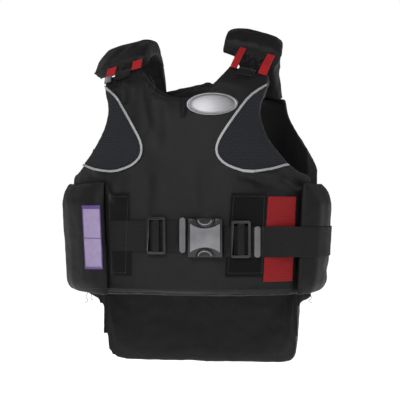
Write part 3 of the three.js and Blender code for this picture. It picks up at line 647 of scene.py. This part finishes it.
def oval_badge(settings, cover):
    """A bare oval plate: brushed middle, a groove and a raised rim, bent as the chest is."""
    low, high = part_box("badge")
    middle = (low + high) / 2
    reach = ((high.x - low.x) / 2, (high.z - low.z) / 2)
    chest = {}
    for key, across, up in (("middle", 0, 0), ("left", 1, 0), ("right", -1, 0), ("top", 0, 1),
                            ("foot", 0, -1)):
        spot, _ = cover.seen_from_front(middle.x + across * reach[0], middle.z + up * reach[1])
        chest[key] = spot.y

    def depth_at(across, up):
        """The chest's place under the badge, from five measured spots."""
        slope = (chest["left"] - chest["right"]) / 2 * across + (chest["top"] - chest["foot"]) / 2 * up
        bow = ((chest["left"] + chest["right"]) / 2 - chest["middle"]) * across ** 2
        tall_bow = ((chest["top"] + chest["foot"]) / 2 - chest["middle"]) * up ** 2
        return chest["middle"] + slope + bow + tall_bow

    # Share of the radius and height over the chest in mm, from the middle to the foot of the rim
    profile = ((0.25, 2.3), (0.5, 2.3), (0.7, 2.3), (0.84, 2.25), (0.87, 1.9), (0.89, 2.0),
               (0.92, 2.7), (0.955, 2.9), (0.985, 2.5), (1.0, 1.6), (1.0, 0.2))
    shape = bmesh.new()
    rings = []
    around = settings.badge_corners
    for share, height in profile:
        ring = []
        for corner in range(around):
            turn = 2 * math.pi * corner / around
            across, up = share * math.cos(turn), share * math.sin(turn)
            ring.append(shape.verts.new((
                middle.x + across * reach[0], depth_at(across, up) - height * MM,
                middle.z + up * reach[1])))
        rings.append(ring)
    centre = shape.verts.new((middle.x, depth_at(0, 0) - profile[0][1] * MM, middle.z))
    for corner in range(around):
        after = (corner + 1) % around
        shape.faces.new((centre, rings[0][corner], rings[0][after]))
        for inner, outer in zip(rings, rings[1:]):
            face = shape.faces.new((inner[corner], outer[corner], outer[after], inner[after]))
            if inner is rings[4] or inner is rings[5]:
                face.material_index = 1
    shape.faces.new(rings[-1])
    bmesh.ops.recalc_face_normals(shape, faces=shape.faces)
    return to_piece(
        shape, "oval_badge", brushed_metal("brushed_steel_badge", "#77777a", "#8f8f92", 0.44),
        brushed_metal("dark_steel_rim", "#6c6c70", "#828286", 0.5))


# Label: bands at its top and foot and the divider, as heights in mm from its foot
LABEL_BANDS = ((0, 3.5), (47, 48.6), (92.5, 98.5))
LABEL_BORDER = 1.8


def label_edges(shape, low, high):
    """The label's front and back edge, each from its foot to its top, seen from the front."""
    edges = []
    for pick in (max, min):
        ends = []
        for height in (low.z, high.z):
            near = [vertex.co for vertex in shape.verts if abs(vertex.co.z - height) < 12 * MM]
            end = pick(near, key=lambda place: place.x)
            ends.append(Vector((end.x, 0, end.z)))
        edges.append(ends)
    return edges


def distance_to_line(place, start, end):
    """How far a place lies from a line, seen from the front."""
    along = (end - start).normalized()
    return (place.x - start.x) * along.z - (place.z - start.z) * along.x


def woven_label(foam, cover):
    """A bare woven label with a purple border, two bands and a divider."""
    low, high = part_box("side_label")
    shape = merged_copy("side_label")
    front_edge, back_edge = label_edges(shape, low, high)
    for edge, inward in ((front_edge, -1), (back_edge, 1)):
        along = edge[1] - edge[0]
        across = Vector((along.z, 0, -along.x)).normalized() * inward
        bmesh.ops.bisect_plane(
            shape, geom=shape.verts[:] + shape.edges[:] + shape.faces[:],
            plane_co=edge[0] + across * LABEL_BORDER * MM, plane_no=across)
    for band in LABEL_BANDS:
        for height in band:
            bmesh.ops.bisect_plane(
                shape, geom=shape.verts[:] + shape.edges[:] + shape.faces[:],
                plane_co=(0, 0, low.z + height * MM), plane_no=(0, 0, 1))
    refine(shape, 4 * MM)
    for face in shape.faces:
        height = (face.calc_center_median().z - low.z) / MM
        in_band = any(start < height < end for start, end in LABEL_BANDS)
        centre = face.calc_center_median()
        by_edge = min(abs(distance_to_line(centre, *edge)) for edge in (front_edge, back_edge))
        if in_band or by_edge < LABEL_BORDER * MM:
            face.material_index = 1
    drape(shape, foam, cover)
    return to_piece(shape, "woven_label", satin_cloth("satin_label_cloth", "#7f7091", "#9183a3"),
                    satin_cloth("satin_label_border", "#46306c", "#553d7c"))


class VestDetails(bpy.types.PropertyGroup):
    """Badge, stitches and threads."""
    badge_corners: bpy.props.IntProperty(
        name="Badge corners", description="Points round the badge", default=96, min=24)
    stitch_pitch: bpy.props.FloatProperty(
        name="Stitch pitch", description="From one stitch to the next", default=3.6 * MM, unit="LENGTH")
    stitch_length: bpy.props.FloatProperty(
        name="Stitch length", description="Length of a stitch", default=2.6 * MM, unit="LENGTH")
    thread: bpy.props.FloatProperty(
        name="Thread", description="Thickness of the thread", default=0.7 * MM, unit="LENGTH")


# Seams, drawn as seen from the front, in mm
SEAMS = {
    "neckline": ((-66, -24), (-55, -48), (-42, -58), (-26, -66), (0, -69), (26, -66), (42, -58),
                 (55, -48), (66, -24)),
    "hem": ((-165, -360), (-100, -359), (0, -359), (100, -359), (165, -360)),
    "waist_tab_left": ((84, -217), (128, -217), (124, -333), (75, -333), (84, -217)),
    "waist_tab_right": ((-84, -334), (-79, -218), (-104, -218)),
    "waist_tab_right_foot": ((-84, -334), (-106, -334)),
    "shoulder_tab_left": ((82, -29), (102, -33)),
    "shoulder_tab_right": ((-84, -31), (-106, -36)),
    "label_top": ((-154, -234), (-124, -234)),
    "label_foot": ((-156, -325), (-125, -325)),
}


def row_of_stitches(details, material):
    """Geometry nodes that set a stitch at even steps along each line."""
    group = bpy.data.node_groups.new("row_of_stitches", "GeometryNodeTree")
    group.interface.new_socket("Geometry", in_out="INPUT", socket_type="NodeSocketGeometry")
    group.interface.new_socket("Geometry", in_out="OUTPUT", socket_type="NodeSocketGeometry")
    entry = add_node(group, "NodeGroupInput")
    steps = add_node(group, "GeometryNodeCurveToPoints", {"mode": "LENGTH"},
                     {"Length": details.stitch_pitch}, {"Curve": entry.outputs["Geometry"]})
    stitch = add_node(group, "GeometryNodeMeshUVSphere", values={"Segments": 6, "Rings": 4, "Radius": 0.5})
    laid = add_node(
        group, "GeometryNodeInstanceOnPoints",
        values={"Scale": (details.thread, details.thread, details.stitch_length)},
        links={"Points": steps.outputs["Points"], "Instance": stitch.outputs["Mesh"],
               "Rotation": steps.outputs["Rotation"]})
    solid = add_node(group, "GeometryNodeRealizeInstances", links={"Geometry": laid.outputs["Instances"]})
    painted = add_node(group, "GeometryNodeSetMaterial", values={"Material": material},
                       links={"Geometry": solid.outputs["Geometry"]})
    exit_node = add_node(group, "NodeGroupOutput")
    group.links.new(painted.outputs["Geometry"], exit_node.inputs["Geometry"])
    return group


def line_object(name, lines, closed=False):
    """Poly lines as one curve object."""
    curve = bpy.data.curves.new(name, "CURVE")
    curve.dimensions = "3D"
    for points in lines:
        spline = curve.splines.new("POLY")
        spline.points.add(len(points) - 1)
        for spot, point in zip(spline.points, points):
            spot.co = (*point, 1)
        spline.use_cyclic_u = closed
    made = bpy.data.objects.new(name, curve)
    bpy.context.scene.collection.objects.link(made)
    return made


def to_plain_mesh(made, name, material):
    """The evaluated object as a plain mesh piece, with the first object removed."""
    bpy.context.view_layer.update()
    graph = bpy.context.evaluated_depsgraph_get()
    mesh = bpy.data.meshes.new_from_object(made.evaluated_get(graph), depsgraph=graph)
    bpy.data.objects.remove(made)
    return link_piece(name, mesh, material)


def smooth_path(points, steps):
    """A rounded line through points, as many steps from each to the next."""
    ends = [points[0], *points, points[-1]]
    path = []
    for index in range(len(points) - 1):
        before, start, end, after = (Vector(place) for place in ends[index:index + 4])
        for step in range(steps):
            share = step / steps
            path.append(0.5 * (
                2 * start + (end - before) * share
                + (2 * before - 5 * start + 4 * end - after) * share ** 2
                + (3 * start - 3 * end + after - before) * share ** 3))
    return [*path, Vector(points[-1])]


def straight_path(points, steps):
    """A straight line from each point to the next, in as many steps."""
    path = []
    for start, end in zip(points, points[1:]):
        path += [Vector(start).lerp(Vector(end), step / steps) for step in range(steps)]
    return [*path, Vector(points[-1])]


def sewn_line(points, surface, thread, rounded):
    """A seam's places on the surface, sunk to half of the thread."""
    path = smooth_path(points, 10) if rounded else straight_path(points, 30)
    line = []
    for place in path:
        spot, normal = surface.seen_from_front(place.x * MM, place.y * MM)
        if spot:
            line.append(spot + normal * thread * 0.15)
    return line


# Loose threads: lines in mm
LOOSE_THREADS = (
    ((-50, -112, -33), (-44, -119, -40), (-41, -117, -50), (-46, -121, -60), (-53, -118, -52),
     (-52, -113, -42)),
    ((-153, -84, -366), (-158, -86, -374), (-155, -88, -381), (-160, -86, -385)),
    ((-147, -88, -366), (-149, -90, -377), (-145, -92, -380)),
    ((188, -46, -366), (192, -47, -375), (188, -49, -379), (193, -50, -383)),
    ((180, -50, -366), (181, -52, -376), (178, -54, -378)),
)


class VEST_OT_details(bpy.types.Operator):
    """Builds the badge, the label, the stitches, the prong rings and the loose threads."""
    bl_idname = "vest.details"
    bl_label = "Build details"

    def execute(self, context):
        details = context.scene.vest_details
        cover = cover_skin()
        finish_piece(oval_badge(details, cover), "brushed_badge", "badge")
        finish_piece(woven_label(foam_skin(), cover), "label_cloth", "side_label")
        self.sew(details)
        self.ring_prongs()
        self.leave_threads(details)
        return {"FINISHED"}

    def sew(self, details):
        """One row of stitches along each seam."""
        fitted = [made.data for made in bpy.data.objects
                  if made.name.startswith("fitted_") or made.name == "woven_label"]
        surface = Skin([*fitted, *(bpy.data.objects[name].data for name in FOAM_PIECES.values())])
        thread = moulded_plastic("polyester_thread", "#2a2a2d", "#38383b", 0.7)
        rounded = ("neckline", "hem")
        lines = [sewn_line(points, surface, details.thread, name in rounded)
                 for name, points in SEAMS.items()]
        made = line_object("seam_lines", [line for line in lines if len(line) > 1])
        nodes = made.modifiers.new("Stitches", "NODES")
        nodes.node_group = row_of_stitches(details, thread)
        finish_piece(to_plain_mesh(made, "sewn_stitches", thread), "nylon_shell")

    def ring_prongs(self):
        """A grey ring at the buckle's upper and lower opening."""
        grey = bpy.data.materials["silver_acetal"]
        for name, way in (("upper", 1), ("lower", -1)):
            low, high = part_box(f"buckle_prong_{name}")
            middle = (low + high) / 2
            reach = (high.x - low.x) / 2
            line = []
            for step in range(33):
                turn = math.pi * (step / 32)
                line.append(Vector((
                    middle.x + 0.72 * reach * math.cos(turn), low.y - 0.3 * MM,
                    (low.z if way < 0 else high.z)
                    - way * (2 * MM + 0.5 * reach * math.sin(turn)))))
            made = line_object(f"ring_line_{name}", [line])
            made.data.bevel_depth = 1.1 * MM
            made.data.bevel_resolution = 3
            made.data.use_fill_caps = True
            finish_piece(to_plain_mesh(made, f"prong_ring_{name}", grey), "grey_plastic")

    def leave_threads(self, details):
        """The loose thread at the neckline and the frayed ends under the side pads."""
        black = moulded_plastic("loose_polyester_thread", "#1c1c1e", "#29292c", 0.7)
        lines = [[point * MM for point in smooth_path(points, 8)] for points in LOOSE_THREADS]
        made = line_object("thread_lines", lines)
        made.data.bevel_depth = details.thread / 2
        made.data.bevel_resolution = 2
        made.data.use_fill_caps = True
        finish_piece(to_plain_mesh(made, "loose_threads", black), "nylon_shell")


class VEST_OT_studio(bpy.types.Operator):
    """Sets the floor, the lights, the world and the camera."""
    bl_idname = "vest.studio"
    bl_label = "Set the studio"

    def execute(self, context):
        scene = context.scene
        middle = Vector((7.6 * MM, 0, -0.224))
        azimuth, elevation = math.radians(10.5), math.radians(0.5)
        away = Vector((
            math.sin(azimuth) * math.cos(elevation),
            -math.cos(azimuth) * math.cos(elevation),
            math.sin(elevation),
        ))
        lens = bpy.data.cameras.new("camera")
        lens.lens = 129
        lens.sensor_width = 36
        camera = bpy.data.objects.new("camera", lens)
        scene.collection.objects.link(camera)
        camera.location = middle + away * 2.3
        camera.rotation_euler = (-away).to_track_quat("-Z", "Y").to_euler()
        scene.camera = camera
        self.light_world(scene)
        self.place_lights(scene, middle)
        self.lay_floor()
        scene.view_settings.view_transform = "Standard"
        return {"FINISHED"}

    def light_world(self, scene):
        """White where the camera sees it, and soft light from all round."""
        world = bpy.data.worlds.new("studio")
        scene.world = world
        world.use_nodes = True
        tree = world.node_tree
        tree.nodes.clear()
        path = add_node(tree, "ShaderNodeLightPath")
        lit = add_node(tree, "ShaderNodeBackground", values={"Color": linear("#ffffff"), "Strength": 0.16})
        seen = add_node(tree, "ShaderNodeBackground", values={"Color": linear("#ffffff"), "Strength": 1.0})
        mixed = add_node(tree, "ShaderNodeMixShader")
        tree.links.new(path.outputs["Is Camera Ray"], mixed.inputs[0])
        tree.links.new(lit.outputs[0], mixed.inputs[1])
        tree.links.new(seen.outputs[0], mixed.inputs[2])
        output = add_node(tree, "ShaderNodeOutputWorld")
        tree.links.new(mixed.outputs[0], output.inputs["Surface"])

    def place_lights(self, scene, middle):
        """A large soft light in front and above, and weaker ones at the sides."""
        lights = (
            ("key", (-0.35, -2.2, 1.1), 0.9, 34),
            ("fill", (1.2, -2.0, 0.3), 1.0, 6),
            ("rim_left", (-1.7, 0.5, 0.9), 0.5, 5),
            ("rim_right", (1.6, 0.6, 0.9), 0.5, 6),
        )
        for name, place, size, power in lights:
            lamp = bpy.data.lights.new(name, "AREA")
            lamp.size = size
            lamp.energy = power
            light = bpy.data.objects.new(name, lamp)
            scene.collection.objects.link(light)
            light.location = place
            light.rotation_euler = (middle - Vector(place)).to_track_quat("-Z", "Y").to_euler()

    def lay_floor(self):
        """A pale floor under the vest, bright enough to meet the white behind it."""
        bpy.ops.mesh.primitive_circle_add(vertices=96, radius=30, fill_type="NGON",
                                          location=(0, 0, -0.62))
        floor = bpy.context.object
        floor.name = "floor"
        pale, tree, shader, place = start_material(
            "painted_floor", 0.9, **{"Emission Color": linear("#ffffff"), "Emission Strength": 0.9})
        tone = colour_between(tree, noise_field(tree, place, 300), "#f0f0ef", "#f6f6f5")
        tree.links.new(tone, shader.inputs["Base Color"])
        floor.data.materials.append(pale)


class VEST_PT_panel(bpy.types.Panel):
    """Lists the builders in the 3D view's sidebar."""
    bl_label = "Body Protector"
    bl_idname = "VEST_PT_panel"
    bl_space_type = "VIEW_3D"
    bl_region_type = "UI"
    bl_category = "Body Protector"

    def draw(self, context):
        for name, kind in SETTINGS.items():
            settings = getattr(context.scene, name)
            for field in kind.__annotations__:
                self.layout.prop(settings, field)
        for operator in OPERATORS:
            self.layout.operator(operator.bl_idname)


SETTINGS = {"vest_cover": VestCover, "vest_trims": VestTrims, "vest_details": VestDetails}
OPERATORS = (VEST_OT_studio, VEST_OT_padding, VEST_OT_trims, VEST_OT_details)
CLASSES = (*SETTINGS.values(), *OPERATORS, VEST_PT_panel)


def register():
    for kind in CLASSES:
        bpy.utils.register_class(kind)
    for name, kind in SETTINGS.items():
        setattr(bpy.types.Scene, name, bpy.props.PointerProperty(type=kind))


def unregister():
    for name in SETTINGS:
        delattr(bpy.types.Scene, name)
    for kind in reversed(CLASSES):
        bpy.utils.unregister_class(kind)


def main():
    register()
    for operator in OPERATORS:
        family, name = operator.bl_idname.split(".")
        getattr(getattr(bpy.ops, family), name)()


if __name__ == "__main__":
    main()
